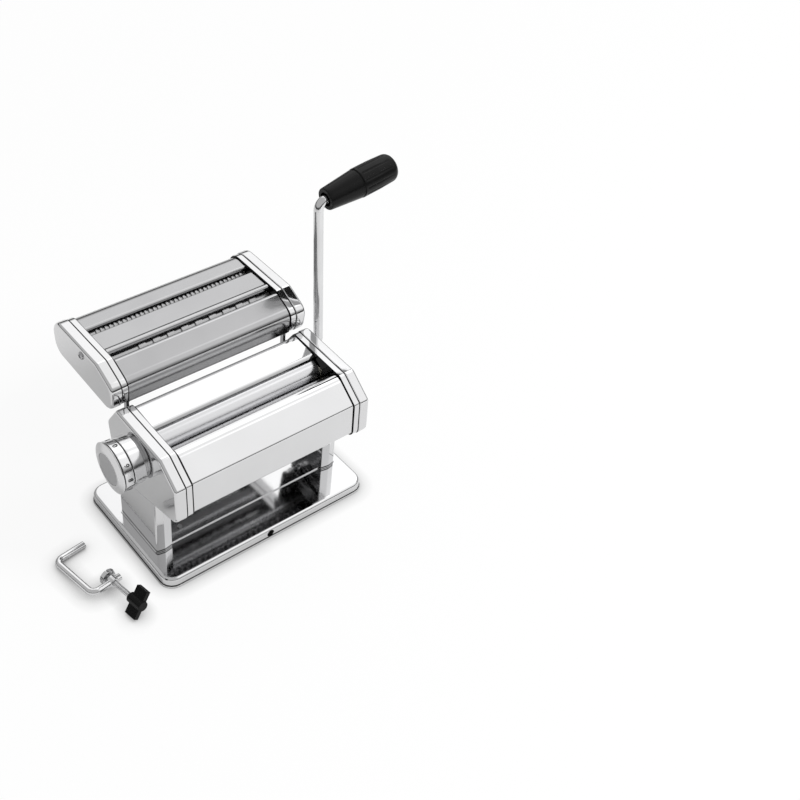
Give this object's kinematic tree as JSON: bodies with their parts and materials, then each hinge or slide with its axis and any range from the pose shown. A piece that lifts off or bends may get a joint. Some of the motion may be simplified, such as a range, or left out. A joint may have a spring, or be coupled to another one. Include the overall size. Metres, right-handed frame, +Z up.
{
  "type": "hand-cranked pasta machine",
  "caption": "Hand-cranked pasta machine: sheet rollers on a pressed steel stand, thickness dial, crank, lift-off cutter head and separate table clamp.",
  "frame": {"origin": "centre of the base's underside, on the table", "axes": "+X along the rollers towards the crank, +Y to the rear towards the cutter head, +Z up"},
  "size_m": [0.3388, 0.1844, 0.2584],
  "materials": {
    "mirror_chrome": "polished chrome-plated sheet steel",
    "satin_steel": "satin steel",
    "roller_metal": "turned and anodised",
    "bright_rod": "plated round bar",
    "cutter_steel": "turned steel",
    "gear_steel": "plain machined steel",
    "fastener_steel": "plated steel",
    "bearing_plastic": "moulded, self-lubricating",
    "scraper_plastic": "moulded grey",
    "knob_metal": "plated",
    "knob_face": "satin disc",
    "black_plastic": "matt black"
  },
  "bodies": {
    "machine": {"base_plate": "mirror_chrome", "clamp_socket": "gear_steel", "body_floor": "mirror_chrome", "base_screws": "fastener_steel", "left_cheek": "mirror_chrome", "right_cheek": "mirror_chrome", "left_side_plate": "satin_steel", "right_side_plate": "satin_steel", "left_cover": "mirror_chrome", "right_cover": "mirror_chrome", "frame_studs": "fastener_steel", "tie_bars": "fastener_steel", "front_hood": "mirror_chrome", "rear_deck": "mirror_chrome", "front_scraper": "scraper_plastic", "rear_scraper": "scraper_plastic", "dock_rails": "fastener_steel", "roller_bushes": "bearing_plastic", "drive_bush": "bearing_plastic", "index_ring": "satin_steel"},
    "drive_shaft": {"drive_pinion": "gear_steel"},
    "crank": {"crank_rod": "bright_rod"},
    "grip": {"crank_grip": "black_plastic"},
    "front_roller": {"front_roller": "roller_metal", "front_gear": "gear_steel"},
    "carriage": {"left_slide_block": "bearing_plastic", "right_slide_block": "bearing_plastic"},
    "rear_roller": {"rear_roller": "roller_metal", "rear_gear": "gear_steel"},
    "dial_shaft": {"dial_shaft": "fastener_steel", "dial_spring": "fastener_steel"},
    "dial_knob": {"dial_knob": "knob_metal", "dial_cap": "knob_face"},
    "cutter_head": {"left_cutter_plate": "satin_steel", "right_cutter_plate": "satin_steel", "left_cutter_cover": "mirror_chrome", "right_cutter_cover": "mirror_chrome", "cutter_screws": "fastener_steel", "cutter_tie_rods": "fastener_steel", "cutter_bushes": "bearing_plastic", "rear_cutter_sheet": "mirror_chrome", "middle_cutter_sheet": "mirror_chrome", "front_cutter_sheet": "mirror_chrome", "fine_combs": "scraper_plastic", "wide_combs": "scraper_plastic"},
    "fine_drive": {"fine_front_cutter": "cutter_steel", "fine_drive_gear": "gear_steel"},
    "fine_follow": {"fine_rear_cutter": "cutter_steel", "fine_driven_gear": "gear_steel"},
    "wide_drive": {"wide_front_cutter": "cutter_steel", "wide_drive_gear": "gear_steel"},
    "wide_follow": {"wide_rear_cutter": "cutter_steel", "wide_driven_gear": "gear_steel"},
    "clamp": {"clamp_frame": "bright_rod"},
    "clamp_jaw": {"clamp_pad": "bright_rod"},
    "clamp_handle": {"clamp_screw": "bright_rod", "clamp_wing": "black_plastic"}
  },
  "joints": [
    {"name": "crank_turn", "type": "hinge", "parent": "machine", "child": "drive_shaft", "pos_m": [0, 0.0153, 0.108], "axis": [1, 0, 0], "continuous": true},
    {"name": "crank_pull", "type": "slide", "parent": "drive_shaft", "child": "crank", "axis": [1, 0, 0], "range_m": [0, 0.012]},
    {"name": "grip_spin", "type": "hinge", "parent": "crank", "child": "grip", "pos_m": [0.11156, 0.03024, 0.23915], "axis": [0.9925, 0.0138, 0.1211], "continuous": true},
    {"name": "front_roller_turn", "type": "hinge", "parent": "machine", "child": "front_roller", "pos_m": [0, -0.04, 0.108], "axis": [1, 0, 0], "continuous": true},
    {"name": "gap_slide", "type": "slide", "parent": "machine", "child": "carriage", "axis": [0, -1, 0], "range_m": [0, 0.0025]},
    {"name": "rear_roller_turn", "type": "hinge", "parent": "carriage", "child": "rear_roller", "pos_m": [0, -0.009, 0.108], "axis": [1, 0, 0], "continuous": true},
    {"name": "dial_turn", "type": "hinge", "parent": "machine", "child": "dial_shaft", "pos_m": [0, -0.012, 0.1055], "axis": [1, 0, 0], "range_deg": [0, 309]},
    {"name": "dial_pull", "type": "slide", "parent": "dial_shaft", "child": "dial_knob", "axis": [-1, 0, 0], "range_m": [0, 0.0035], "stiffness_N_per_m": 900, "springref_m": -0.002, "deforming": ["dial_spring"]},
    {"name": "cutter_lift", "type": "slide", "parent": "machine", "child": "cutter_head", "axis": [0, 0, 1], "range_m": [0, 0.045]},
    {"name": "fine_drive_turn", "type": "hinge", "parent": "cutter_head", "child": "fine_drive", "pos_m": [0, 0.0744, 0.143], "axis": [1, 0, 0], "continuous": true},
    {"name": "fine_follow_turn", "type": "hinge", "parent": "cutter_head", "child": "fine_follow", "pos_m": [0, 0.0896, 0.143], "axis": [1, 0, 0], "continuous": true},
    {"name": "wide_drive_turn", "type": "hinge", "parent": "cutter_head", "child": "wide_drive", "pos_m": [0, 0.0404, 0.143], "axis": [1, 0, 0], "continuous": true},
    {"name": "wide_follow_turn", "type": "hinge", "parent": "cutter_head", "child": "wide_follow", "pos_m": [0, 0.0556, 0.143], "axis": [1, 0, 0], "continuous": true},
    {"name": "clamp_lift", "type": "slide", "parent": "machine", "child": "clamp", "axis": [0, 0, 1], "range_m": [0, 0.06]},
    {"name": "clamp_advance", "type": "slide", "parent": "clamp", "child": "clamp_jaw", "axis": [-0.1212, 0.9871, -0.1046], "range_m": [0, 0.0125]},
    {"name": "clamp_turn", "type": "hinge", "parent": "clamp_jaw", "child": "clamp_handle", "pos_m": [-0.13144, -0.03385, 0.00818], "axis": [-0.1212, 0.9871, -0.1046], "range_deg": [0, 3600]}
  ],
  "couplings": [
    {"joint": "front_roller_turn", "follows": "crank_turn", "ratio": 0.71429},
    {"joint": "rear_roller_turn", "follows": "crank_turn", "ratio": -0.71429},
    {"joint": "gap_slide", "follows": "dial_turn", "m_per_rad": 0.0004635},
    {"joint": "fine_follow_turn", "follows": "fine_drive_turn", "ratio": -1},
    {"joint": "wide_follow_turn", "follows": "wide_drive_turn", "ratio": -1},
    {"joint": "clamp_advance", "follows": "clamp_turn", "m_per_rad": 0.00019894}
  ]
}
